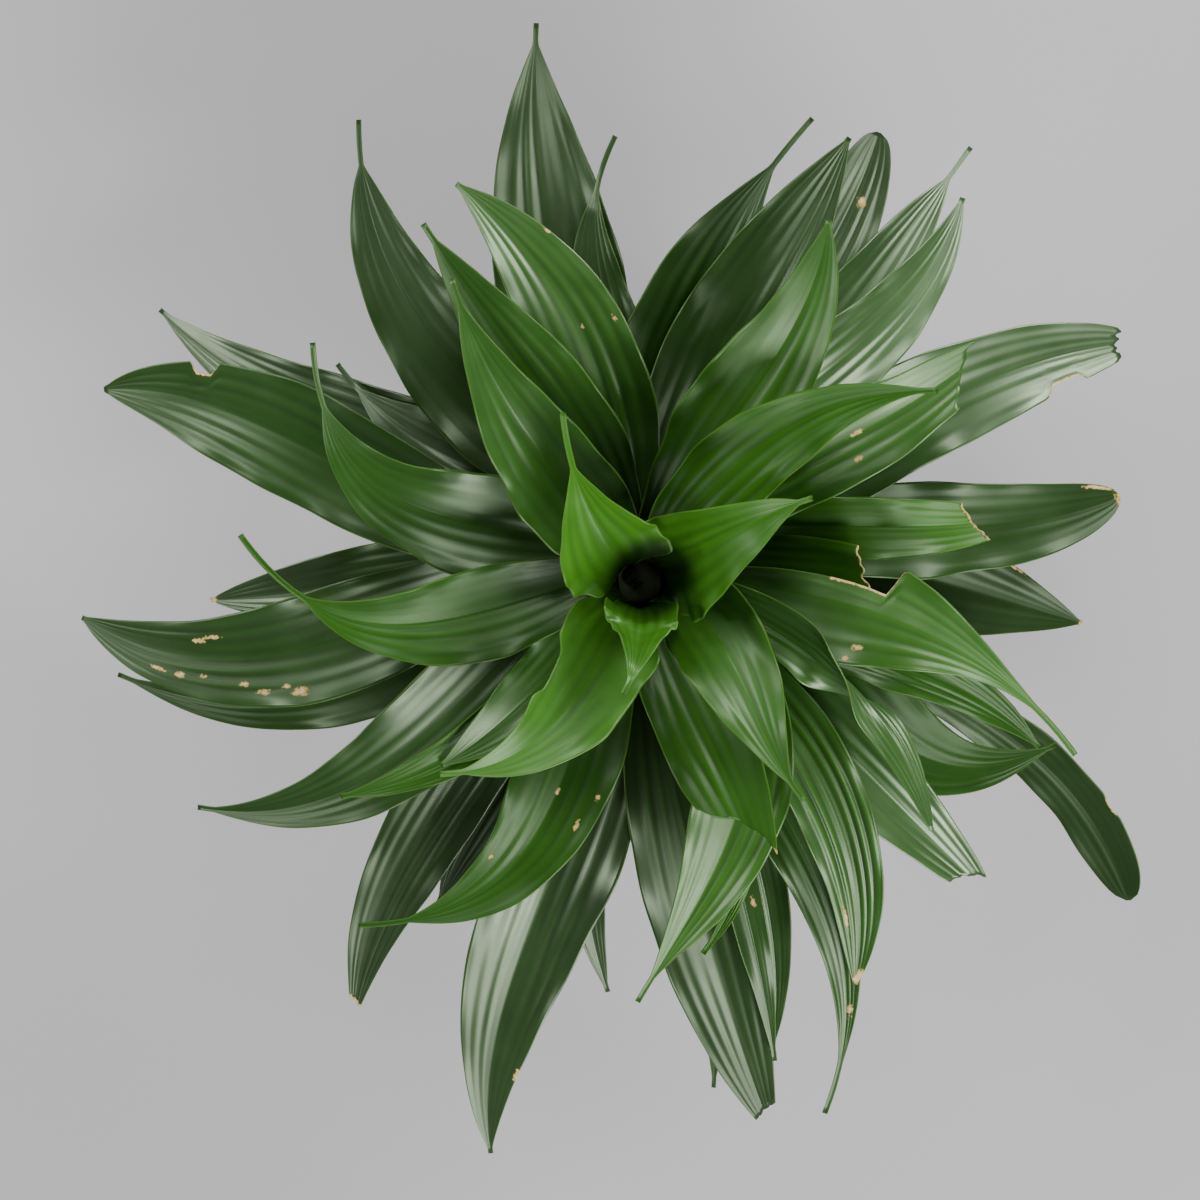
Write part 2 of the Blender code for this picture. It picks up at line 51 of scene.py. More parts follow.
# azimuth, reach, bow, hook, width, tip height, tone, then what differs from the usual leaf.
# Lowest leaf first: the order and the sizes are the ones the solids were laid by.
usualLeaf = dict(belly=0.50, taper=0.9, roll=0, twist=0, whole=1.0, thread=0.0, arch=0)
leafPlan = [
    (322, 268, 22, 22, 26, 135, 0.18, dict(belly=0.84, taper=0.45, roll=30)),
    (278, 250, 2, 9, 20, 135, 0.25, dict(roll=10)),
    (267, 204, -16, -1, 22, 140, 0.05, {}),
    (197, 225, 25, 17, 34, 145, 0.10, dict(belly=0.45, taper=1.2)),
    (156, 212, 6, 10, 36, 150, 0.06, dict(belly=0.42, taper=0.95)),
    (58, 186, -4, -7, 33, 153, 0.10, dict(belly=0.60, taper=0.45)),
    (243, 179, 0, -3, 28, 158, 0.05, {}),
    (241, 242, -14, -11, 34, 162, 0.06, dict(taper=1.0, whole=0.95)),
    (151, 136, 6, 7, 32, 167, 0.06, dict(belly=0.45, taper=1.0, thread=0.10)),
    (190, 175, 0, 2, 31, 172, 0.10, dict(taper=0.8)),
    (124, 196, 21, 11, 43, 176, 0.12, dict(belly=0.36, taper=0.8, thread=0.09)),
    (348, 185, 9, -3, 42, 181, 0.12, {}),
    (49, 201, -6, 4, 31, 186, 0.30, dict(taper=0.75, thread=0.08)),
    (333, 191, -13, -43, 41, 190, 0.32, dict(taper=1.2)),
    (101, 203, 9.5, 2.5, 49, 195, 0.12, dict(belly=0.48, taper=1.0, thread=0.03)),
    (93, 156, 6.5, 16, 29, 199, 0.14, dict(belly=0.45, taper=1.0, thread=0.14)),
    (257, 260, -2, -20, 47, 204, 0.15, dict(belly=0.48, taper=0.95)),
    (283, 251, -8, 0, 41, 209, 0.14, dict(taper=0.8, whole=0.945)),
    (5, 190, -1, -9, 37, 213, 0.22, dict(belly=0.52, taper=0.5)),
    (188, 219, 17, 23, 42, 218, 0.20, dict(belly=0.54, taper=0.8)),
    (285, 210, 13, 7, 20, 223, 0.25, {}),
    (333, 177, 6, 11, 24, 227, 0.44, {}),
    (285, 213, 5, 2, 16, 232, 0.30, {}),
    (211, 199, 17, 20, 38, 236, 0.22, dict(belly=0.40, taper=1.2)),
    (68, 175, 17, 0, 40, 241, 0.18, dict(belly=0.48, taper=1.1, thread=0.12)),
    (63, 174, 9, -5, 38, 246, 0.15, dict(belly=0.52)),
    (163, 210, 1, -21, 42, 250, 0.25, dict(belly=0.60, taper=0.72)),
    (23, 204, 10, 8, 41, 255, 0.28, dict(belly=0.40, taper=0.55, whole=0.955)),
    (288.5, 230, 23, 20, 25, 260, 0.32, dict(belly=0.45, taper=1.2, thread=0.06)),
    (48, 179, -3, -16, 30, 264, 0.40, dict(taper=0.85)),
    (316, 187, 3, -1, 32, 269, 0.40, dict(belly=0.52, taper=0.7, whole=0.93)),
    (233, 175, 28, 21, 37, 274, 0.45, dict(belly=0.45, taper=1.1, thread=0.08)),
    (7, 146, 5.5, -9, 23, 278, 0.42, dict(belly=0.55, taper=0.6, whole=0.855)),
    (355, 138, 1, -3, 30, 283, 0.42, dict(taper=0.8, whole=0.63)),
    (297, 182, 23, 6, 29, 276, 0.50, dict(taper=0.7)),
    (279.5, 148, 22, 14, 10, 292, 0.75, dict(belly=0.60, taper=0.8)),
    (270, 163, 38, -16, 35, 297, 0.60, dict(taper=1.4, thread=0.02)),
    (145, 143, 25, 20, 37, 301, 0.42, dict(belly=0.45, taper=1.0, thread=0.13)),
    (337, 173, 20, 6, 44, 306, 0.60, dict(belly=0.40, taper=2.8)),
    (115, 153, -16, -4, 37, 311, 0.60, dict(belly=0.48)),
    (217, 135, 13, 2, 19, 315, 0.50, {}),
    (224, 99, 4, 1, 26, 320, 0.40, {}),
    (34, 150, 1, -7, 31, 324, 0.50, dict(belly=0.55, taper=0.55, whole=0.91)),
    (292, 134, 1, 5, 33, 329, 0.50, dict(taper=1.3, whole=0.75)),
    (121, 146, -5, 4, 34, 334, 0.45, dict(belly=0.45, taper=0.95, thread=0.03)),
    (173, 141, 24, 16, 33, 338, 0.55, dict(belly=0.48, taper=1.0, thread=0.18)),
    (63, 142, -4, -9, 37, 343, 0.62, {}),
    (320, 134, 20, 4, 19, 348, 0.55, dict(belly=0.42, taper=0.7, twist=165)),
    (34, 123, 17, 5, 31, 352, 0.60, dict(belly=0.45, taper=1.35, arch=8)),
    (121, 125, 6, 2, 36, 357, 0.58, dict(belly=0.40, taper=1.1, thread=0.04, arch=8)),
    (308, 92, 8, -9, 33, 361, 0.66, dict(belly=0.48, taper=1.15, thread=0.04, arch=10)),
    (222, 93, 14, 5.5, 36, 366, 0.85, dict(belly=0.42, taper=1.1, thread=0.04, arch=12)),
    (30, 67, 3, 2, 41, 368, 0.75, dict(belly=0.36, taper=1.0, thread=0.03, arch=22)),
    (113, 68, 5, 0, 38, 371, 0.85, dict(taper=1.2, thread=0.15, arch=22)),
    (259, 32, 2, 0, 26, 379, 0.90, dict(belly=0.42, taper=1.0, thread=0.05, arch=30)),
]

# the cane's crown, the solids' blades and the height map they are laid on
crown = dict(caneRadius=9.0, caneTipRadius=7.5, caneTop=345.0, lowest=172.0, highest=300.0, caneGap=0.45)
blade = dict(solidThickness=0.8, gap=0.35, baseWidth=0.22, swellPower=1.5, clasp=0.15, leastWidth=2.0,
             arch=15.0, archSwell=14.0, archPeakOld=0.85, archPeakDrop=0.4, fold=8.0, foldGain=14.0,
             foldPower=1.4, tangentStep=0.01, rollEnd=0.5, twistStart=0.42, twistSpan=0.4, wave=2.2,
             waveLeast=0.55, waveSpread=0.9, waves=2.3, waveShift=0.618, waveOffset=0.25, ribPoints=241,
             seatRounds=6, stations=11, across=5)
laying = dict(reach=300, potHeight=135.0, rimRadius=77.0, overRim=3.0, cuts=14, rounds=14, easeRounds=4,
              easing=(0.25, 0.5, 0.25), steepest=0.30)


def smoothStep(share):
    share = np.clip(share, 0.0, 1.0)
    return share * share * (3.0 - 2.0 * share)


def readLeaves():
    keys = ("azimuth", "reach", "bow", "hook", "width", "tip", "tone")
    return [{**usualLeaf, **dict(zip(keys, row)), **row[7]} for row in leafPlan]


def caneRadius(height):
    share = (height - crown["lowest"]) / (crown["caneTop"] - crown["lowest"])
    return crown["caneRadius"] + (crown["caneTipRadius"] - crown["caneRadius"]) * min(max(share, 0.0), 1.0)


def midrib(leaf, youth, baseLift):
    heading = math.radians(leaf["azimuth"])
    outward = np.array((math.cos(heading), math.sin(heading)))
    sideways = np.array((-outward[1], outward[0]))
    base = crown["lowest"] + (crown["highest"] - crown["lowest"]) * youth

    def plan(share):
        share = np.atleast_1d(share)[:, None]
        bend = 4.0 * share * (1.0 - share) * (leaf["bow"] + leaf["hook"] * (2.0 * share - 1.0))
        return outward * leaf["reach"] * share + sideways * bend

    seat = caneRadius(base + baseLift) + crown["caneGap"] + blade["solidThickness"] / 2.0
    start = seat / leaf["reach"]
    for _ in range(blade["seatRounds"]):
        start *= seat / np.hypot(*plan(start)[0])
    along = np.linspace(0.0, 1.0, blade["ribPoints"]) ** 2
    steep = blade["archPeakOld"] - blade["archPeakDrop"] * youth
    peak = steep / (1.0 + steep)
    arch = along ** steep * (1.0 - along) / (peak ** steep * (1.0 - peak))
    height = base + (leaf["tip"] - base) * along
    height += (blade["arch"] + blade["archSwell"] * math.sin(math.pi * youth) + leaf["arch"]) * arch
    return np.column_stack([plan(start + (1.0 - start) * along), height])


def bladeWidth(leaf, length):
    share = length / (1.0 - leaf["thread"])
    swelling = np.sin(math.pi / 2 * np.clip(share / leaf["belly"], 0.0, 1.0)) ** blade["swellPower"]
    ending = np.clip((share - leaf["belly"]) / (1.0 - leaf["belly"]), 0.0, 1.0)
    closing = np.cos(math.pi / 2 * ending) ** leaf["taper"]
    opening = blade["baseWidth"] + (1.0 - blade["baseWidth"]) * swelling
    shape = np.where(share < leaf["belly"], opening, closing)
    return np.maximum(shape * leaf["width"], blade["leastWidth"])


def waveOf(number):
    return blade["wave"] * (blade["waveLeast"] + blade["waveSpread"] * (blade["waveShift"] * number % 1.0))


# how far the slow ripple of a blade has turned, one side a little ahead of the other
def wavePhase(length, across, number):
    turns = blade["waves"] * length + blade["waveShift"] * number + blade["waveOffset"] * (across > 0)
    return 2.0 * math.pi * turns


# rise of the folded blade from its midrib, for a half width of one
def gutterOf(across, youth):
    fold = math.radians(blade["fold"] + blade["foldGain"] * youth)
    return np.abs(across) ** blade["foldPower"] * math.tan(fold)


# centre, side, up and half width of a blade at the given shares of its length
def ribFrame(leaf, number, length, lifts):
    youth = number / (len(leafPlan) - 1)
    rib = midrib(leaf, youth, lifts[0])
    steps = np.linalg.norm(np.diff(rib, axis=0), axis=1)
    measured = np.concatenate([[0.0], np.cumsum(steps)]) / steps.sum()

    def onRib(share):
        place = np.column_stack([np.interp(share, measured, rib[:, axis]) for axis in range(3)])
        place[:, 2] += np.interp(share, length, lifts)
        return place

    centre = onRib(length)
    step = blade["tangentStep"]
    tangent = onRib(np.minimum(length + step, 1.0)) - onRib(np.maximum(length - step, 0.0))
    tangent /= np.linalg.norm(tangent, axis=1)[:, None]
    level = np.zeros(len(length))
    side = np.column_stack([-tangent[:, 1], tangent[:, 0], level])
    side /= np.linalg.norm(side, axis=1)[:, None]
    free = smoothStep(length / blade["clasp"])
    roundCane = np.column_stack([-centre[:, 1], centre[:, 0], level])
    roundCane /= np.linalg.norm(roundCane, axis=1)[:, None]
    side = roundCane + (side - roundCane) * free[:, None]
    side /= np.linalg.norm(side, axis=1)[:, None]
    up = np.cross(tangent, side)
    up /= np.linalg.norm(up, axis=1)[:, None]
    twisted = smoothStep((length - blade["twistStart"]) / blade["twistSpan"])
    angle = np.radians(leaf["roll"] * smoothStep(length / blade["rollEnd"]) + leaf["twist"] * twisted)
    turn, lean = np.cos(angle)[:, None], np.sin(angle)[:, None]
    side, up = side * turn + up * lean, up * turn - side * lean
    return centre, side, up, bladeWidth(leaf, length) / 2.0, free, youth, steps.sum()


# the plain form of a blade: a folded strip with a slow ripple, as the solid has it
def bladePoints(leaf, number, length, across, lifts):
    centre, side, up, half, free, youth, _ = ribFrame(leaf, number, length, lifts)
    ripple = waveOf(number) * across ** 2 * np.sin(wavePhase(length[:, None], across, number))
    ripple *= np.sin(math.pi * length / leaf["whole"])[:, None]
    ripple *= half[:, None] * 2.0 / leaf["width"]
    rise = (half * free)[:, None] * gutterOf(across, youth)[None, :] + ripple
    out = (half[:, None] * across)[..., None]
    return centre[:, None] + side[:, None] * out + up[:, None] * rise[..., None]


def startHeights():
    size = 2 * laying["reach"]
    spot = np.arange(size) + 0.5 - laying["reach"]
    overPot = np.hypot(spot[:, None], spot[None, :]) < laying["rimRadius"] + 2.0 * laying["overRim"]
    return np.where(overPot, laying["potHeight"] + laying["overRim"], 0.0)


# highest value among each cell and its neighbours
def widened(height):
    wide = np.pad(height, 1, mode="edge")
    size = len(height)
    return np.max([wide[i:i + size, j:j + size] for i in range(3) for j in range(3)], axis=0)


def cellsOf(place):
    return np.clip((place[..., :2] + laying["reach"]).astype(int), 0, 2 * laying["reach"] - 1)


# the lifts with sharp steps filled in, and nowhere lowered
def eased(lifts):
    return np.maximum(lifts, np.convolve(np.pad(lifts, 1, mode="edge"), laying["easing"], "valid"))


# places of the solid blade's corners, its triangles, and weights that spread spots over each of them
def coarseGrid():
    bm = bmesh.new()
    bmesh.ops.create_grid(bm, x_segments=blade["stations"] - 1, y_segments=blade["across"] - 1, size=1.0)
    bmesh.ops.triangulate(bm, faces=bm.faces[:], quad_method="FIXED")
    places = [(round((v.co.x + 1.0) / 2.0 * (blade["stations"] - 1)),
               round((v.co.y + 1.0) / 2.0 * (blade["across"] - 1))) for v in bm.verts]
    triangles = np.array([[v.index for v in face.verts] for face in bm.faces])
    bm.free()
    cuts = laying["cuts"]
    weights = np.array([(a, b, cuts - a - b) for a in range(cuts + 1) for b in range(cuts + 1 - a)]) / cuts
    return np.array(places), triangles, weights


# lifts of every leaf at its stations, so that each lies clear of the ones below it
def layLeaves(leaves):
    places, triangles, weights = coarseGrid()
    station = (places[triangles, 0] @ weights.T).ravel()
    across = np.linspace(-1.0, 1.0, blade["across"])
    height = startHeights()
    allLifts = []

    def spots(points):
        corners = points[places[:, 0], places[:, 1]][triangles]
        normal = np.cross(corners[:, 1] - corners[:, 0], corners[:, 2] - corners[:, 0])
        level = np.abs(normal[:, 2]) / np.maximum(np.linalg.norm(normal, axis=1), 1e-9)
        half = blade["solidThickness"] / 2.0 / np.maximum(level, laying["steepest"])
        place = np.einsum("bk,tkc->tbc", weights, corners)
        half = np.broadcast_to(half[:, None], place.shape[:2]).ravel()
        place = place.reshape(-1, 3)
        return cellsOf(place), place[:, 2], half

    for number, leaf in enumerate(leaves):
        below = widened(height)
        length = np.linspace(0.0, leaf["whole"], blade["stations"])
        lifts = np.zeros(blade["stations"])
        for _ in range(laying["rounds"]):
            cell, level, half = spots(bladePoints(leaf, number, length, across, lifts))
            short = below[cell[:, 0], cell[:, 1]] + blade["gap"] + half - level
            if short.max() <= 0.0:
                break
            for k in range(blade["stations"]):
                lifts[k] += max(short[np.abs(station - k) < 1.0].max(), 0.0)
            lifts = eased(lifts)
        for _ in range(laying["easeRounds"]):
            lifts = eased(lifts)
        cell, level, half = spots(bladePoints(leaf, number, length, across, lifts))
        np.maximum.at(height, (cell[:, 0], cell[:, 1]), level + half)
        allLifts.append(lifts)
    return allLifts


# the finer blade: points, pleats, midrib, uneven margins, ragged ends and slow bumps
fineLeaf = dict(stations=84, across=43, ribStations=200, thickness=0.5, gap=0.3, leastWidth=0.5,
                pleats=7, pleatDepth=0.17, pleatOld=1.3, pleatDrop=0.5, pleatStart=0.12, pleatLeast=0.8,
                pleatVary=1.3, pleatDrift=1.2, pleatFade=0.6, ribDepth=0.35, ribWidth=0.07, buckle=0.5,
                frill=0.9, frills=7.0, frillShift=0.37, edgeWiggle=0.060, wiggles=9.0, ragScale=4.0,
                ragGain=2.0, bumpStep=3.7, bumpLevel=0.5, otherSide=0.3, grainLong=3.5, grainAcross=2.2,
                grainStep=1.9, stripStep=0.1)
# width of a cut's dry rim and how it varies, and how fast rims, tips and spots fade
dryness = dict(rimWidth=1.1, rimLeast=0.8, rimVary=1.5, rimRange=(0.2, 2.0), rimStart=1.3, tipStart=1.2,
               sideStart=1.2, sideFade=3.0, spotStart=1.15, spotFade=0.65, whole=0.98)
# how a fine blade is raised where it is tightest
settling = dict(attempts=24, smoothing=15, nudge=0.1, spread=0.10)

# What sets single leaves apart, by leaf number, in shares of length and half width unless said otherwise.
# end: how a cut end slants and how ragged it is. rimSide: the side of a cut end that is dry, 0 for none and
# both where it isn't given. rimFrom: from where on bites have dry rims. tip: length of a dry tip in
# millimetres. sheen: share of the usual gloss at the foot and at the tip. glow: how much lighter its outer
# half is. bites: side (1 is counter-clockwise), from, to, depth, softness. spots: place along and across,
# then half sizes along and across in millimetres. pleats: their strength. wiggle: how uneven its margins
# are. stations: rows of points. sameUnder: no paler below.
leafMarks = {
    1: dict(sheen=(0.4, 0.4), pleats=0.5, spots=[(0.82, 0.97, 3, 1.2)], bites=[(1, 0.80, 0.83, 0.08, 0.01)]),
    2: dict(pleats=0.4),
    4: dict(sheen=(0.4, 0.4), pleats=0.6),
    6: dict(sheen=(0.6, 0.6), spots=[(0.83, -0.27, 2.2, 1.8)]),
    8: dict(end=(0.012, 0.003)),
    10: dict(tip=5, spots=[(0.86, 0.9, 3, 0.7)]),
    11: dict(sheen=(0.4, 0.4), pleats=0.6),
    12: dict(sheen=(0.5, 0.5), pleats=0.7, tip=2.5, spots=[(0.77, 0.99, 8, 0.6)]),
    13: dict(sheen=(1.0, 2.0)),
    14: dict(sheen=(0.2, 0.4)),
    15: dict(sheen=(0.5, 0.5)),
    16: dict(sheen=(0.6, 0.6)),
    17: dict(spots=[(0.84, 0.95, 3, 1.5)]),
    18: dict(sheen=(0.4, 0.6), end=(-0.010, 0.002), rimSide=0),
    19: dict(sheen=(0.5, 0.7), pleats=0.6, tip=3, spots=[(0.95, 0.9, 8, 0.7)]),
    20: dict(stations=170, spots=[(0.77, -0.44, 3, 0.9), (0.74, -0.52, 4, 0.8), (0.84, 0.52, 3, 0.7),
                                  (0.80, 0.50, 2.0, 1.1), (0.76, 0.42, 1.3, 0.8), (0.69, 0.52, 2, 0.9),
                                  (0.66, 0.68, 2.6, 1.1), (0.62, 0.60, 1.6, 0.9), (0.60, 0.74, 3.2, 1.8)]),
    21: dict(pleats=0.3),
    22: dict(sheen=(0.5, 0.5)),
    23: dict(pleats=0.3, spots=[(0.66, 0.47, 2, 1)]),
    25: dict(sheen=(0.5, 0.5)),
    26: dict(sheen=(0.5, 0.5)),
    27: dict(bites=[(-1, 0.80, 0.83, 0.30, 0.008)]),
    28: dict(sheen=(0.5, 2.0), end=(0.004, 0.006), rimSide=0, bites=[(-1, 0.80, 0.87, 0.25, 0.012)]),
    29: dict(spots=[(0.81, 0.40, 2.2, 1.2)]),
    30: dict(sheen=(1.0, 3.0)),
    31: dict(sheen=(1.0, 2.0), end=(0.028, 0.003), rimSide=0),
    32: dict(stations=150, spots=[(0.49, 0.0, 2, 0.8), (0.53, 0.67, 2, 0.9), (0.47, 0.80, 1.5, 0.8),
                                  (0.67, -0.67, 1.5, 0.7)]),
    33: dict(sheen=(0.1, 0.5), pleats=0.5, end=(-0.035, 0.003), glow=0.5),
    34: dict(sheen=(0.3, 0.3), end=(-0.050, 0.010), glow=0.2),
    35: dict(sheen=(1.0, 2.4), pleats=2.1, spots=[(0.985, 0.6, 4, 2), (0.85, -0.57, 5, 0.6)]),
    37: dict(sheen=(1.0, 2.3), wiggle=1.8, glow=0.1),
    38: dict(wiggle=1.5),
    39: dict(sheen=(1.0, 2.5), bites=[(1, -0.2, 0.51, 0.62, 0.022)], rimFrom=0.40, stations=130, glow=0.2,
             spots=[(0.49, -0.67, 2, 1.2), (0.47, -0.87, 1.5, 1)]),
    40: dict(sheen=(1.5, 4.0), stations=150, pleats=1.6,
             spots=[(0.80, -0.97, 1.6, 0.5), (0.59, -0.83, 1.6, 0.6), (0.60, -0.17, 1.2, 0.6)]),
    43: dict(sheen=(0.8, 3.0), end=(0.060, 0.008), rimSide=0, wiggle=2.2, glow=0.2,
             spots=[(0.64, 0.03, 3, 0.8), (0.62, -0.5, 1.8, 1.0)]),
    44: dict(end=(0.085, 0.006), rimSide=1),
    45: dict(sheen=(1.0, 2.0)),
    47: dict(sheen=(0.6, 1.6), pleats=0.6, wiggle=1.6),
    48: dict(sheen=(1.0, 4.0), pleats=1.6, sameUnder=True),
    49: dict(sheen=(0.4, 0.6), wiggle=2.4),
    50: dict(sheen=(1.0, 2.0)),
    51: dict(sheen=(1.0, 2.0)),
    52: dict(sheen=(1.0, 2.5), wiggle=2.0, rimFrom=1.0, bites=[(-1, 0.42, 0.60, 0.22, 0.06)]),
    53: dict(wiggle=1.6),
    54: dict(wiggle=1.6, rimFrom=1.0, bites=[(-1, -0.2, 0.20, 0.50, 0.10)]),
    55: dict(sheen=(1.0, 3.0)),
}


def bumpyLine(values, seed, scale):
    place = (seed * fineLeaf["bumpStep"], fineLeaf["bumpLevel"])
    bumps = [noise.noise(Vector((float(value) * scale, *place))) for value in np.ravel(values)]
    return np.array(bumps).reshape(np.shape(values))


# how much of each half of the blade is left beside its bites
def edgeShare(marks, length, across):
    left = np.ones_like(length)
    for side, start, stop, depth, soft in marks.get("bites", []):
        inside = smoothStep((length - start) / soft) * (1.0 - smoothStep((length - stop) / soft))
        left -= np.where(np.sign(across) == side, depth * inside, 0.0)
    return left


# how dry a blade is: along torn edges, at a cut end or a dry tip, and in its spots
def dryShares(leaf, marks, v, length, left, edgeGap, toEnd, fullLength, halfHere, grain):
    d = dryness
    rim = d["rimWidth"] * np.clip(d["rimLeast"] + d["rimVary"] * grain, *d["rimRange"])
    torn = (left < d["whole"]) & (length > marks.get("rimFrom", 0.0))
    dry = np.where(torn, np.clip(d["rimStart"] - edgeGap / rim, 0.0, 1.0), 0.0)
    rimSide = marks.get("rimSide")
    if leaf["whole"] < 1.0:
        reach = 0.0 if rimSide == 0 else 1.0
        if rimSide:
            reach = np.clip(d["sideStart"] - np.abs(v - rimSide) * d["sideFade"], 0.0, 1.0)
        dry = np.maximum(dry, np.clip(d["rimStart"] - toEnd / rim, 0.0, 1.0) * reach)
    elif marks.get("tip"):
        dry = np.maximum(dry, np.clip(d["tipStart"] - toEnd / marks["tip"], 0.0, 1.0))
    for place, beside, longWays, sideWays in marks.get("spots", []):
        distance = np.hypot((length - place) * fullLength / longWays, (v - beside) * halfHere / sideWays)
        dry = np.maximum(dry, np.clip(d["spotStart"] - d["spotFade"] * distance, 0.0, 1.0))
    return dry


# points of a finer blade, and its pleats, dryness and distance to the edge at each
def fineBlade(leaf, number, lifts, marks, grain):
    f = fineLeaf
    slant, rag = marks.get("end", (0.0, 0.0))
    rib = np.linspace(0.0, 1.0, f["ribStations"])
    centre, side, up, half, free, youth, fullLength = ribFrame(leaf, number, rib, lifts)
    half = np.maximum(half, f["leastWidth"] / 2.0)

    along = np.linspace(0.0, 1.0, len(grain))[:, None]
    across = np.linspace(-1.0, 1.0, f["across"])[None, :]
    end = leaf["whole"] + slant * across + rag * bumpyLine(across, number, f["ragScale"]) * f["ragGain"]
    length = np.minimum(along * end, 1.0)
    left = edgeShare(marks, length, across)
    uneven = f["edgeWiggle"] * marks.get("wiggle", 1.0)
    sides = [uneven * np.interp(length, rib, bumpyLine(rib, seed, f["wiggles"]))
             for seed in (number, number + f["otherSide"])]
    trim = 1.0 + np.where(across > 0, *sides) * np.abs(across)
    v = across * left * trim

    def at(values):
        if values.ndim == 1:
            return np.interp(length, rib, values)
        return np.stack([np.interp(length, rib, values[:, k]) for k in range(3)], axis=-1)

    halfHere, freeHere = at(half), at(free)
    fade = np.sin(math.pi * np.clip(length / leaf["whole"], 0.0, 1.0))
    narrow = halfHere * 2.0 / leaf["width"]
    ripple = waveOf(number) * v ** 2 * np.sin(wavePhase(length, across, number)) * fade * narrow
    frillTurns = f["frills"] * length + f["frillShift"] * number * np.sign(across)
    frill = f["frill"] * v ** 4 * np.sin(2.0 * math.pi * frillTurns)
    pleat = np.cos(math.pi * f["pleats"] * np.abs(v) + f["pleatDrift"] * grain)
    pleat = pleat * (1.0 - f["pleatFade"] * v ** 4)
    strength = smoothStep(length / f["pleatStart"]) * (f["pleatLeast"] + f["pleatVary"] * grain)
    strength = strength * marks.get("pleats", f["pleatOld"] - f["pleatDrop"] * youth)
    ridge = np.exp(-(v / f["ribWidth"]) ** 2)
    rise = halfHere * freeHere * gutterOf(v, youth) + ripple + frill * fade * narrow
    rise += narrow * (f["pleatDepth"] * pleat * strength - f["ribDepth"] * ridge + f["buckle"] * grain * fade)
    points = at(centre) + at(side) * (halfHere * v)[..., None] + at(up) * rise[..., None]

    edgeGap = (left * trim - np.abs(v)) * halfHere
    toEnd = (end - length) * fullLength
    dry = dryShares(leaf, marks, v, length, left, edgeGap, toEnd, fullLength, halfHere, grain)
    facts = dict(v=v, length=length, pleat=pleat * strength, dry=dry, edge=edgeGap)
    facts = {key: np.broadcast_to(value, length.shape) for key, value in facts.items()}
    return points, {**facts, "fullLength": fullLength}


# slow bumps over a blade, long ones along it and shorter ones across
def bladeGrain(number, stations):
    f = fineLeaf
    rows = np.linspace(0.0, 1.0, stations)
    columns = np.linspace(-1.0, 1.0, f["across"])
    long, wide, third = f["grainLong"], f["grainAcross"], number * f["grainStep"]
    bumps = [[noise.noise(Vector((row * long, column * wide, third))) for column in columns] for row in rows]
    return np.array(bumps)


# finer blades of all leaves, raised a little more where pleats would touch what is below
def settleFine(leaves, allLifts):
    f, s = fineLeaf, settling
    height = startHeights()
    rib = np.linspace(0.0, 1.0, f["ribStations"])
    kernel = np.hanning(s["smoothing"])
    kernel = kernel / kernel.sum()
    shaped = []
    for number, leaf in enumerate(leaves):
        below = widened(height)
        marks = leafMarks.get(number + 1, {})
        grain = bladeGrain(number, marks.get("stations", f["stations"]))
        knots = np.linspace(0.0, leaf["whole"], blade["stations"])
        lifts = np.interp(rib, knots, allLifts[number])
        padded = np.pad(lifts, s["smoothing"] // 2, mode="edge")
        lifts = np.maximum(lifts, np.convolve(padded, kernel, "valid"))
        for attempt in range(s["attempts"]):
            points, facts = fineBlade(leaf, number, lifts, marks, grain)
            dense = denser(denser(points).swapaxes(0, 1)).swapaxes(0, 1)
            step = np.gradient(dense, axis=0)
            slope = step[..., 2] / np.maximum(np.linalg.norm(step, axis=-1), 1e-6)
            level = np.clip(np.sqrt(1.0 - np.clip(slope ** 2, 0.0, 1.0)), laying["steepest"], 1.0)
            cell = cellsOf(dense)
            half = f["thickness"] / 2.0 / level
            short = below[cell[..., 0], cell[..., 1]] + f["gap"] + half - dense[..., 2]
            worst = np.unravel_index(short.argmax(), short.shape)
            if short[worst] <= 0.0 or attempt == s["attempts"] - 1:
                break
            place = denser(denser(facts["length"]).T).T[worst]
            lifts = lifts + (short[worst] + s["nudge"]) * np.exp(-((rib - place) / s["spread"]) ** 2)
        top = dense[..., 2] + half
        np.maximum.at(height, (cell[..., 0].ravel(), cell[..., 1].ravel()), top.ravel())
        shaped.append((points, facts))
    return shaped


# the grid with a row added halfway between each two rows
def denser(grid):
    middle = (grid[1:] + grid[:-1]) / 2.0
    full = np.empty((len(grid) + len(middle),) + grid.shape[1:])
    full[0::2], full[1::2] = grid, middle
    return full


def newMaterial(name):
    material = bpy.data.materials.new(name)
    material.use_nodes = True
    tree = material.node_tree
    return material, tree, tree.nodes["Principled BSDF"]


def addNode(tree, kind, sockets=None, **settings):
    node = tree.nodes.new(kind)
    for key, value in settings.items():
        setattr(node, key, value)
    for key, value in (sockets or {}).items():
        if isinstance(value, bpy.types.NodeSocket):
            tree.links.new(value, node.inputs[key])
        else:
            node.inputs[key].default_value = value
    return node


def readAttribute(tree, name):
    return addNode(tree, "ShaderNodeAttribute", attribute_name=name).outputs["Fac"]


def mathNode(tree, operation, *inputs, clamp=False):
    inputs = dict(enumerate(inputs))
    return addNode(tree, "ShaderNodeMath", inputs, operation=operation, use_clamp=clamp).outputs[0]


def mixColours(tree, share, first, second):
    first, second = ((*colour, 1.0) if isinstance(colour, tuple) else colour for colour in (first, second))
    return addNode(tree, "ShaderNodeMix", {0: share, 6: first, 7: second}, data_type="RGBA").outputs[2]


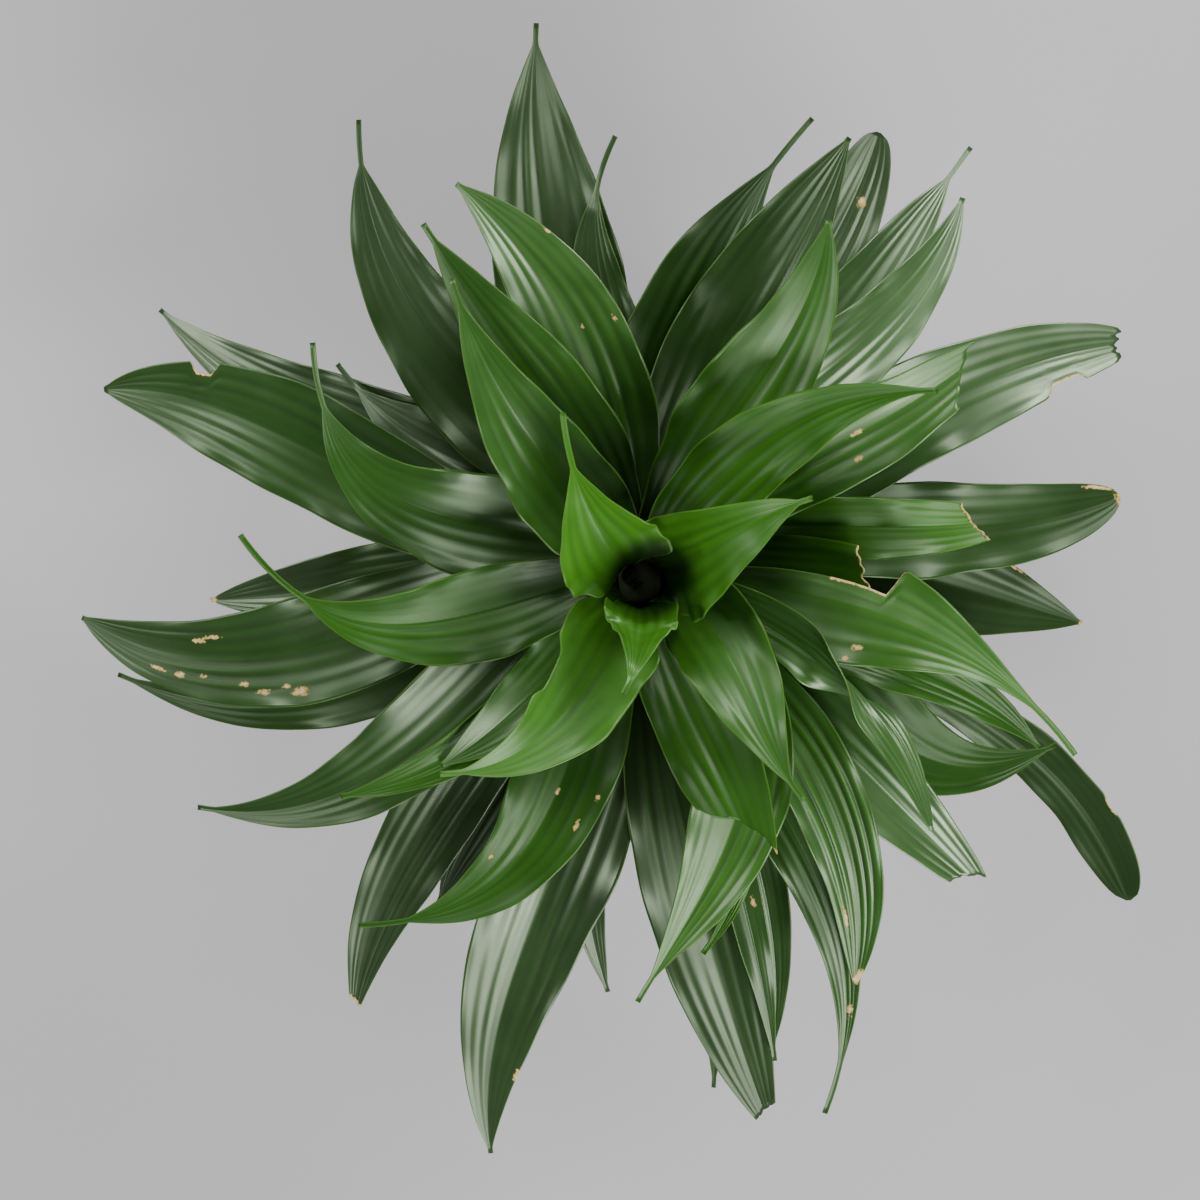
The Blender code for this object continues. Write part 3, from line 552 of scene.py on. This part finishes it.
def ramp(tree, share, stops):
    node = addNode(tree, "ShaderNodeValToRGB", {0: share})
    elements = node.color_ramp.elements
    while len(elements) < len(stops):
        elements.new(0.5)
    for element, (place, colour) in zip(elements, stops):
        element.position = place
        element.color = (*colour, 1.0)
    return node.outputs["Color"]


def noiseOver(tree, vector, scale, detail):
    sockets = {"Vector": vector, "Scale": scale, "Detail": detail}
    return addNode(tree, "ShaderNodeTexNoise", sockets).outputs["Fac"]


def vectorNode(tree, operation, *inputs):
    return addNode(tree, "ShaderNodeVectorMath", dict(enumerate(inputs)), operation=operation)


# a value spread from one range over another
def spreadOver(tree, value, start, stop, low=0.0, high=1.0, smooth=False):
    sockets = {"Value": value, "From Min": start, "From Max": stop, "To Min": low, "To Max": high}
    kind = "SMOOTHSTEP" if smooth else "LINEAR"
    return addNode(tree, "ShaderNodeMapRange", sockets, interpolation_type=kind).outputs[0]


def coat(tree, surface, colour, roughness, specular=None, bump=None):
    tree.links.new(colour, surface.inputs["Base Color"])
    surface.inputs["Roughness"].default_value = roughness
    if specular is not None:
        surface.inputs["Specular IOR Level"].default_value = specular
    if bump:
        addBump(tree, surface, *bump)


def addBump(tree, surface, height, depth, strength):
    bump = addNode(tree, "ShaderNodeBump", {"Height": height, "Distance": depth, "Strength": strength})
    tree.links.new(bump.outputs[0], surface.inputs["Normal"])


def addObject(name, data):
    made = bpy.data.objects.new(name, data)
    bpy.context.scene.collection.objects.link(made)
    return made


def meshFrom(bm, name):
    mesh = bpy.data.meshes.new(name)
    bm.to_mesh(mesh)
    bm.free()
    return mesh


def addPiece(name, mesh, materials, node, smooth=True):
    if smooth:
        mesh.shade_smooth()
    for material in materials:
        mesh.materials.append(material)
    piece = addObject(name, mesh)
    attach(piece, "root")
    if node:
        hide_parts(node)
    return piece


def thicken(piece, thickness, underside=0):
    wall = piece.modifiers.new("thickness", "SOLIDIFY")
    wall.thickness = thickness * mm
    wall.offset = 0.0
    wall.material_offset = underside


# gloss: roughness, specular and painted shade at the leaf's foot. well: painted shade of the dark heart.
leafLook = dict(
    toneStops=[(0.0, (0.006, 0.016, 0.003)), (0.20, (0.007, 0.022, 0.003)), (0.45, (0.009, 0.038, 0.002)),
               (0.65, (0.011, 0.046, 0.002)), (1.0, (0.024, 0.094, 0.004))],
    margin=(0.050, 0.120, 0.012), marginWidth=0.55, marginShare=0.36,
    dryStops=[(0.0, (0.10, 0.12, 0.02)), (0.45, (0.16, 0.12, 0.03)), (0.65, (0.26, 0.17, 0.06)),
              (1.0, (0.40, 0.30, 0.15))],
    dryNoise=(800.0, 2.0), dryCrumble=1.3, dryRange=(0.42, 0.60), dryRoughness=0.40,
    gloss=dict(leaf_dark=(0.36, 0.52, 0.80), leaf_green=(0.37, 0.40, 0.80), leaf_fresh=(0.40, 0.20, 0.80),
               leaf_heart=(0.42, 0.17, 0.60)),
    sheenTint=(0.80, 1.0, 0.70), sheenStart=0.2, sheenSpan=0.5,
    veinScale=(230.0, 5.0, 1.0), veinNoise=(1.0, 2.0), veinShare=0.44, veinBump=(0.00010, 1.0),
    cloudNoise=(55.0, 3.0), cloudShare=0.5, cloudRough=0.16, pleatShade=0.16, paintedFootRange=(0.05, 0.62),
    toneSwell=0.10, toneDrop=0.05, glowSpan=0.6, glowStart=0.5,
    underShare=0.35, underColour=(0.10, 0.16, 0.08), underRough=0.15,
    paintedWellShade=0.84, paintedWellCentre=(0.004, 0.005, 0.0), paintedWellRadius=(0.010, 0.0175))


def leafMaterial(name, gloss, under=False):
    look = leafLook
    roughness, specular, paintedFootShade = gloss
    material, tree, surface = newMaterial(name)
    shine = mathNode(tree, "MULTIPLY", readAttribute(tree, "sheen"), specular)
    tree.links.new(shine, surface.inputs["Specular IOR Level"])
    surface.inputs["Specular Tint"].default_value = (*look["sheenTint"], 1.0)
    where = addNode(tree, "ShaderNodeTexCoord")
    strip = addNode(tree, "ShaderNodeMapping", {"Vector": where.outputs["UV"], "Scale": look["veinScale"]})
    veins = noiseOver(tree, strip.outputs[0], *look["veinNoise"])
    cloud = noiseOver(tree, where.outputs["Object"], *look["cloudNoise"])
    crumb = noiseOver(tree, where.outputs["Object"], *look["dryNoise"])

    def aroundZero(grain, share):
        return mathNode(tree, "MULTIPLY", mathNode(tree, "SUBTRACT", grain, 0.5), share)

    # painted shade in the grooves of the pleats and painted light on their ridges, over the pleats the blade
    # really has
    shade = mathNode(tree, "MULTIPLY_ADD", readAttribute(tree, "pleat"), look["pleatShade"], 1.0)
    shade = mathNode(tree, "ADD", shade, aroundZero(veins, look["veinShare"]))
    shade = mathNode(tree, "ADD", shade, aroundZero(cloud, look["cloudShare"]))
    length = readAttribute(tree, "length")
    # painted shade: each leaf darker towards its foot, where the leaves above shade it
    foot = spreadOver(tree, length, *look["paintedFootRange"], low=1.0 - paintedFootShade, smooth=True)
    shade = mathNode(tree, "MULTIPLY", shade, foot)
    # painted shade: leaves darker near the cane's axis, a dark well in the heart where little light gets in
    flat = vectorNode(tree, "SUBTRACT", where.outputs["Object"], look["paintedWellCentre"]).outputs[0]
    away = vectorNode(tree, "LENGTH", vectorNode(tree, "MULTIPLY", flat, (1.0, 1.0, 0.0)).outputs[0])
    dimmed = 1.0 - look["paintedWellShade"]
    well = spreadOver(tree, away.outputs["Value"], *look["paintedWellRadius"], low=dimmed, smooth=True)
    shade = mathNode(tree, "MULTIPLY", shade, well)
    tone = ramp(tree, readAttribute(tree, "tone"), look["toneStops"])
    shaded = vectorNode(tree, "MULTIPLY", tone, shade).outputs[0]
    edge = spreadOver(tree, readAttribute(tree, "edge"), 0.0, look["marginWidth"], look["marginShare"], 0.0)
    colour = mixColours(tree, edge, shaded, look["margin"])
    if under:
        colour = mixColours(tree, look["underShare"], colour, look["underColour"])
    dry = mathNode(tree, "ADD", readAttribute(tree, "dry"), aroundZero(crumb, look["dryCrumble"]))
    dryShare = spreadOver(tree, dry, *look["dryRange"])
    colour = mixColours(tree, dryShare, colour, ramp(tree, dry, look["dryStops"]))
    tree.links.new(colour, surface.inputs["Base Color"])
    roughness = roughness - look["cloudRough"] / 2.0 + (look["underRough"] if under else 0.0)
    rough = mathNode(tree, "MULTIPLY_ADD", cloud, look["cloudRough"], roughness)
    dryRough = mathNode(tree, "MULTIPLY", dryShare, look["dryRoughness"])
    tree.links.new(mathNode(tree, "ADD", rough, dryRough, clamp=True), surface.inputs["Roughness"])
    addBump(tree, surface, veins, *look["veinBump"])
    return material


def buildLeaves():
    leaves = readLeaves()
    lifts = layLeaves(leaves)
    print("laid", len(lifts), "leaves")
    shaped = settleFine(leaves, lifts)
    print("shaped the blades")
    faces = {}
    for number, (leaf, (points, facts)) in enumerate(zip(leaves, shaped)):
        node = f"leaf_{number + 1:02d}"
        slotName = next(row["material_slot"] for row in frame["record"]["subparts"] if row["node"] == node)
        if slotName not in faces:
            gloss = leafLook["gloss"][slotName]
            faces[slotName] = (leafMaterial(slotName + "_top", gloss),
                               leafMaterial(slotName + "_under", gloss, under=True))
        makeBlade(number, leaf, points, facts, faces[slotName], node)
    print("built the leaf meshes")


def makeBlade(number, leaf, points, facts, materials, node):
    f, look = fineLeaf, leafLook
    marks = leafMarks.get(number + 1, {})
    stations = len(points)
    bm = bmesh.new()
    bmesh.ops.create_grid(bm, x_segments=stations - 1, y_segments=f["across"] - 1, size=1.0)
    mesh = meshFrom(bm, f"blade_{number + 1:02d}")
    flat = np.empty(len(mesh.vertices) * 3)
    mesh.vertices.foreach_get("co", flat)
    flat = flat.reshape(-1, 3)
    row = np.rint((flat[:, 0] + 1.0) / 2.0 * (stations - 1)).astype(int)
    column = np.rint((flat[:, 1] + 1.0) / 2.0 * (f["across"] - 1)).astype(int)
    mesh.vertices.foreach_set("co", (points[row, column] * mm).ravel())

    length = facts["length"]
    tone = leaf["tone"] + look["toneSwell"] * np.sin(math.pi * length) - look["toneDrop"]
    tone = tone + marks.get("glow", 0.0) * smoothStep(length / look["glowSpan"] - look["glowStart"])
    footSheen, tipSheen = marks.get("sheen", (1.0, 1.0))
    sheen = footSheen + (tipSheen - footSheen) * smoothStep((length - look["sheenStart"]) / look["sheenSpan"])
    shown = dict(tone=tone, **{name: facts[name] for name in ("length", "dry", "pleat", "edge")}, sheen=sheen)
    for name, values in shown.items():
        attribute = mesh.attributes.new(name, "FLOAT", "POINT")
        attribute.data.foreach_set("value", np.ascontiguousarray(values[row, column], dtype=np.float32))
    layer = mesh.uv_layers.new(name="strip")
    corner = np.empty(len(mesh.loops), dtype=np.int32)
    mesh.loops.foreach_get("vertex_index", corner)
    place = np.stack([(facts["v"] * leaf["width"] / 2.0 * mm)[row, column] + f["stripStep"] * number,
                      (length * facts["fullLength"] * mm)[row, column]], axis=-1)
    layer.data.foreach_set("uv", place[corner].ravel().astype(np.float32))
    piece = addPiece(mesh.name, mesh, materials, node)
    thicken(piece, f["thickness"], underside=0 if marks.get("sameUnder") else 1)


# a body turned on the axis from radius and height pairs
def turned(profile, sides):
    bm = bmesh.new()
    line = [bm.verts.new((radius * mm, 0.0, height * mm)) for radius, height in profile]
    edges = [bm.edges.new(pair) for pair in zip(line, line[1:])]
    bmesh.ops.spin(bm, geom=line + edges, cent=(0, 0, 0), axis=(0, 0, 1), angle=2 * math.pi, steps=sides,
                   use_merge=True)
    bmesh.ops.remove_doubles(bm, verts=bm.verts[:], dist=0.01 * mm)
    bmesh.ops.recalc_face_normals(bm, faces=bm.faces[:])
    return bm


caneLook = dict(foot=64.0, dome=5.0, domeTurns=(0.4, 0.8, 1.2), scarSpacing=4.5, scarRise=0.45, sides=72,
                rows=300, stretch=0.35, swell=0.022, swellScale=0.45, pits=0.015, pitScale=1.7,
                bark=(0.105, 0.080, 0.040), barkDark=(0.035, 0.024, 0.012), grainNoise=(260.0, 4.0),
                grainBump=(0.0003, 0.6), ringShare=0.35, ringDark=0.8,
                young=(0.0080, 0.0105, 0.0040), youngRange=(0.24, 0.31), roughness=0.7, specular=0.05)


def buildCane():
    c, top = caneLook, crown["caneTop"]
    profile = [(0.0, c["foot"])]
    for height in np.linspace(c["foot"], top - c["dome"], c["rows"]):
        scar = (height / c["scarSpacing"]) % 1.0
        profile.append((caneRadius(height) - c["scarRise"] + c["scarRise"] * scar ** 3, height))
    end = profile[-1][0]
    for turn in c["domeTurns"]:
        profile.append((end * math.cos(turn), top - c["dome"] + c["dome"] * math.sin(turn)))
    profile.append((0.0, top))
    bm = turned(profile, c["sides"])
    for vertex in bm.verts:
        around = Vector((vertex.co.x, vertex.co.y, vertex.co.z * c["stretch"])) / mm
        outward = Vector((vertex.co.x, vertex.co.y, 0.0))
        swelling = outward * c["swell"] * (1.0 + noise.noise(around * c["swellScale"]))
        vertex.co -= swelling + outward * c["pits"] * abs(noise.noise(around * c["pitScale"]))
    material, tree, surface = newMaterial("caneBark")
    where = addNode(tree, "ShaderNodeTexCoord").outputs["Object"]
    height = addNode(tree, "ShaderNodeSeparateXYZ", {0: where}).outputs["Z"]
    grain = noiseOver(tree, where, *c["grainNoise"])
    ring = mathNode(tree, "FRACT", mathNode(tree, "MULTIPLY", height, 1.0 / (c["scarSpacing"] * mm)))
    dark = spreadOver(tree, ring, 0.0, c["ringShare"], c["ringDark"], 0.0)
    bark = mixColours(tree, grain, c["barkDark"], c["bark"])
    bark = mixColours(tree, dark, bark, c["barkDark"])
    colour = mixColours(tree, spreadOver(tree, height, *c["youngRange"]), bark, c["young"])
    coat(tree, surface, colour, c["roughness"], c["specular"], (grain, *c["grainBump"]))
    addPiece("caneStem", meshFrom(bm, "caneStem"), [material], "cane")
    print("built the cane")


# The bud is coloured near-black as painted shade of the deep heart, a little less dark along its top edge.
budLook = dict(foot=336.0, height=14.0, turns=2.3, inner=1.3, outer=6.4, closing=0.30, slant=8.0,
               slantTurn=0.6, outerDrop=8.0, wall=0.5, columns=90, rows=14, colour=(0.0030, 0.0060, 0.0016),
               rim=(0.005, 0.011, 0.0025), rimRange=(0.344, 0.358), roughness=0.6, specular=0.0)


# the youngest leaves, still rolled up at the tip of the cane
def buildBud():
    b = budLook
    bm = bmesh.new()
    bmesh.ops.create_grid(bm, x_segments=b["columns"], y_segments=b["rows"], size=1.0)
    for vertex in bm.verts:
        around, rise = (vertex.co.x + 1.0) / 2.0, (vertex.co.y + 1.0) / 2.0
        turn = 2.0 * math.pi * b["turns"] * around
        radius = (b["inner"] + (b["outer"] - b["inner"]) * around) * (1.0 - b["closing"] * rise ** 2)
        slant = b["slant"] * (0.5 + 0.5 * math.cos(turn + b["slantTurn"]))
        height = b["foot"] + rise * (b["height"] - slant - b["outerDrop"] * around)
        vertex.co = Vector((radius * math.cos(turn), radius * math.sin(turn), height)) * mm
    bmesh.ops.recalc_face_normals(bm, faces=bm.faces[:])
    material, tree, surface = newMaterial("rolledLeaf")
    where = addNode(tree, "ShaderNodeTexCoord").outputs["Object"]
    height = addNode(tree, "ShaderNodeSeparateXYZ", {0: where}).outputs["Z"]
    share = spreadOver(tree, height, *b["rimRange"])
    colour = mixColours(tree, share, b["colour"], b["rim"])
    coat(tree, surface, colour, b["roughness"], b["specular"])
    piece = addPiece("rolledBud", meshFrom(bm, "rolledBud"), [material], None)
    thicken(piece, b["wall"])
    print("built the bud")


soilLook = dict(floor=6.3, top=121.0, swell=2.0, settled=1.0, hole=9.3, edge=66.2, foot=48.1, roughen=1.6,
                lumpScale=0.09, lumpLevel=3.0, octaves=4, calm=4.0, skin=2.0, rings=46, sides=150,
                dark=(0.010, 0.006, 0.004), brown=(0.050, 0.030, 0.018), bark=(0.110, 0.062, 0.030),
                bedNoise=(190.0, 5.0), bedStops=(0.35, 0.62, 0.75), bedRoughness=0.95, bedBump=(0.0012, 0.8))
crumbLook = dict(seed=11, count=420, small=0.9, large=2.6, margin=4.0, sink=0.15, spin=6.28, lean=0.3,
                 broad=(0.5, 0.9), flat=(0.4, 0.7), uneven=0.14, noise=(120.0, 2.0), stops=(0.35, 0.55, 0.70),
                 roughness=0.9)


def soilHeight(x, y):
    s = soilLook
    away = math.hypot(x, y)
    lump = noise.fractal(Vector((x, y, s["lumpLevel"])) * s["lumpScale"], 1.0, 2.0, s["octaves"])
    calm = min(1.0, (s["edge"] - away) / s["calm"], (away - s["hole"]) / s["calm"])
    dome = s["swell"] * math.cos(min(away / s["edge"], 1.0) * math.pi / 2) ** 2
    return s["top"] + dome - s["settled"] + s["roughen"] * lump * max(calm, 0.0)


def soilMaterial(name, grain, places):
    material, tree, surface = newMaterial(name)
    grain = noiseOver(tree, addNode(tree, "ShaderNodeTexCoord").outputs["Object"], *grain)
    colours = [soilLook[key] for key in ("dark", "brown", "bark")]
    return material, tree, surface, grain, ramp(tree, grain, list(zip(places, colours)))


def buildSoil():
    s, c = soilLook, crumbLook
    rings = np.linspace(s["edge"], s["hole"], s["rings"])
    profile = [(s["hole"], s["floor"]), (s["foot"], s["floor"]), (s["edge"], s["top"] - s["settled"])]
    profile += [(radius, s["top"]) for radius in rings[1:]] + [(s["hole"], s["floor"])]
    bm = turned(profile, s["sides"])
    for vertex in bm.verts:
        if vertex.co.z > (s["top"] - s["skin"]) * mm:
            vertex.co.z = soilHeight(vertex.co.x / mm, vertex.co.y / mm) * mm
    material, tree, surface, clods, colour = soilMaterial("soilGrain", s["bedNoise"], s["bedStops"])
    coat(tree, surface, colour, s["bedRoughness"], bump=(clods, *s["bedBump"]))
    addPiece("soilBed", meshFrom(bm, "soilBed"), [material], "soil")

    crumbs = bmesh.new()
    draw = random.Random(c["seed"])
    for _ in range(c["count"]):
        away = math.sqrt(draw.uniform((s["hole"] + c["margin"]) ** 2, (s["edge"] - c["margin"]) ** 2))
        turn, size = draw.uniform(0, 2 * math.pi), draw.uniform(c["small"], c["large"])
        x, y = away * math.cos(turn), away * math.sin(turn)
        place = Matrix.Translation(Vector((x, y, soilHeight(x, y) + size * c["sink"])) * mm)
        spin = draw.uniform(0, c["spin"])
        place = place @ Matrix.Rotation(spin, 4, Vector((draw.random(), draw.random(), c["lean"])))
        place = place @ Matrix.Diagonal((1.0, draw.uniform(*c["broad"]), draw.uniform(*c["flat"]), 1.0))
        lump = bmesh.ops.create_icosphere(crumbs, subdivisions=1, radius=size * mm, matrix=place)
        for vertex in lump["verts"]:
            shift = Vector((draw.uniform(-1, 1), draw.uniform(-1, 1), draw.uniform(-1, 1)))
            vertex.co += shift * size * c["uneven"] * mm
    material, tree, surface, _, colour = soilMaterial("soilCrumb", c["noise"], c["stops"])
    coat(tree, surface, colour, c["roughness"])
    addPiece("soilCrumbs", meshFrom(crumbs, "soilCrumbs"), [material], None, smooth=False)
    print("built the soil")


potLook = dict(height=135.0, rimRadius=77.0, footRadius=52.0, wall=4.5, floor=6.0, band=24.0, bandStep=3.5,
               bandRound=(0.6, 0.8), sides=144, edgeRound=1.5, edgeSteps=5, bodyFrom=4.0, bodyShort=3.0,
               bodyRows=60, insideFrom=6.0, insideRows=20, drainRadius=4.0, drainRing=30.0, drains=4,
               drainSides=40, ribbing=0.10, ribWaves=(0.9, 0.23), sharpAngle=40, clay=(0.300, 0.105, 0.048),
               clayDark=(0.190, 0.060, 0.028), patchNoise=(22.0, 4.0), grainNoise=(900.0, 3.0),
               bloom=(0.430, 0.260, 0.180), bloomRange=(0.27, 0.42), bloomShare=0.55, roughness=0.85,
               grainBump=(0.0002, 0.5))


# radius and height pairs, from the underside's centre up the outside and down the inside
def potProfile():
    p = potLook
    slope = (p["rimRadius"] - p["bandStep"] - p["footRadius"]) / p["height"]

    def outside(height):
        return p["footRadius"] + slope * height

    def ribbed(height):
        quick, slow = (math.sin(height * wave) for wave in p["ribWaves"])
        return outside(height) + p["ribbing"] * quick * slow

    band, r = p["height"] - p["band"], p["edgeRound"]
    corner = [(math.sin(turn), math.cos(turn)) for turn in np.linspace(0.0, math.pi / 2, p["edgeSteps"])]
    under, out = p["bandRound"]
    profile = [(0.0, 0.0)] + [(outside(0) - r + r * a, r - r * b) for a, b in corner]
    body = np.linspace(p["bodyFrom"], band - p["bodyShort"], p["bodyRows"])
    profile += [(ribbed(height), height) for height in body]
    profile += [(outside(band), band - under), (outside(band) + out, band)]
    profile += [(outside(band) + p["bandStep"] - r + r * a, band + r - r * b) for a, b in corner[1:]]
    profile += [(p["rimRadius"] - r + r * b, p["height"] - r + r * a) for a, b in corner]
    inside = outside(p["height"]) - p["wall"]
    profile += [(inside + r - r * a, p["height"] - r + r * b) for a, b in corner]
    for height in np.linspace(p["height"] - p["insideFrom"], p["floor"], p["insideRows"]):
        profile.append((outside(height) - p["wall"], height))
    return profile + [(0.0, p["floor"])]


def buildPot():
    p = potLook
    pot = addObject("potShell", meshFrom(turned(potProfile(), p["sides"]), "potShell"))
    drill = bmesh.new()
    outward = Matrix.Translation((p["drainRing"] * mm, 0, p["floor"] / 2 * mm))
    for number in range(p["drains"]):
        place = Matrix.Rotation(2 * math.pi * number / p["drains"], 4, "Z") @ outward
        bmesh.ops.create_cone(drill, cap_ends=True, segments=p["drainSides"], radius1=p["drainRadius"] * mm,
                              radius2=p["drainRadius"] * mm, depth=3 * p["floor"] * mm, matrix=place)
    drills = addObject("drills", meshFrom(drill, "drills"))
    holes = pot.modifiers.new("holes", "BOOLEAN")
    holes.object, holes.operation, holes.solver = drills, "DIFFERENCE", "EXACT"
    bored = bpy.data.meshes.new_from_object(pot.evaluated_get(bpy.context.evaluated_depsgraph_get()))
    bored.name = "clayPot"
    bored.set_sharp_from_angle(angle=math.radians(p["sharpAngle"]))
    for helper in (pot, drills):
        bpy.data.objects.remove(helper)

    material, tree, surface = newMaterial("clayBody")
    where = addNode(tree, "ShaderNodeTexCoord").outputs["Object"]
    patch = noiseOver(tree, where, *p["patchNoise"])
    grain = noiseOver(tree, where, *p["grainNoise"])
    colour = mixColours(tree, patch, p["clayDark"], p["clay"])
    salt = spreadOver(tree, mathNode(tree, "MULTIPLY", patch, grain), *p["bloomRange"], 0.0, p["bloomShare"])
    colour = mixColours(tree, salt, colour, p["bloom"])
    coat(tree, surface, colour, p["roughness"], bump=(grain, *p["grainBump"]))
    addPiece("clayPot", bored, [material], "pot", smooth=False)
    print("built the pot")


# the stage is in metres; a lamp has its azimuth, distance, height, size and power
stageLook = dict(floorSize=14.0, floorColour=(0.255, 0.253, 0.257), floorRoughness=0.9,
                 skyStops=[(0.0, (0.52, 0.54, 0.56)), (0.45, (0.56, 0.58, 0.60)), (0.75, (0.13, 0.14, 0.15)),
                           (1.0, (0.03, 0.03, 0.03))],
                 lamps=[(50, 1.8, 1.5, 0.7, 66.0), (298, 1.35, 1.7, 0.7, 56.0), (172, 2.0, 1.4, 0.6, 46.0),
                        (300, 2.1, 1.0, 0.9, 40.0), (118, 1.5, 1.6, 0.55, 26.0)],
                 aim=(0, 0, 0.25))
photoView = dict(place=(-0.014, 0.148, 1.38), tilt=8.4, lens=90.0, sensor=36.0)


def buildFloor():
    look = stageLook
    bm = bmesh.new()
    bmesh.ops.create_grid(bm, x_segments=1, y_segments=1, size=look["floorSize"] / 2.0)
    mesh = meshFrom(bm, "floor")
    floor = addObject("floor", mesh)
    material, _, surface = newMaterial("floor")
    surface.inputs["Base Color"].default_value = (*look["floorColour"], 1.0)
    surface.inputs["Roughness"].default_value = look["floorRoughness"]
    mesh.materials.append(material)


def buildLight():
    look = stageLook
    world = bpy.data.worlds.new("sky")
    bpy.context.scene.world = world
    world.use_nodes = True
    tree = world.node_tree
    where = addNode(tree, "ShaderNodeTexCoord")
    split = addNode(tree, "ShaderNodeSeparateXYZ", {0: where.outputs["Generated"]})
    tree.links.new(ramp(tree, split.outputs["Z"], look["skyStops"]), tree.nodes["Background"].inputs["Color"])
    for number, (turn, spread, height, size, power) in enumerate(look["lamps"]):
        turn = math.radians(turn)
        lamp = bpy.data.lights.new(f"softbox_{number + 1}", "AREA")
        lamp.shape = "SQUARE"
        lamp.size = size
        lamp.energy = power
        place = Vector((spread * math.cos(turn), spread * math.sin(turn), height))
        facing = (Vector(look["aim"]) - place).to_track_quat("-Z", "Y").to_matrix().to_4x4()
        addObject(lamp.name, lamp).matrix_world = Matrix.Translation(place) @ facing


def buildView():
    view = bpy.data.cameras.new("photo_view")
    view.lens = photoView["lens"]
    view.sensor_width = photoView["sensor"]
    camera = addObject("photo_view", view)
    camera.location = photoView["place"]
    camera.rotation_euler = (-math.radians(photoView["tilt"]), 0.0, 0.0)
    bpy.context.scene.camera = camera


buildFloor()
buildLight()
buildView()
print("set the stage")
buildPot()
buildSoil()
buildCane()
buildBud()
buildLeaves()
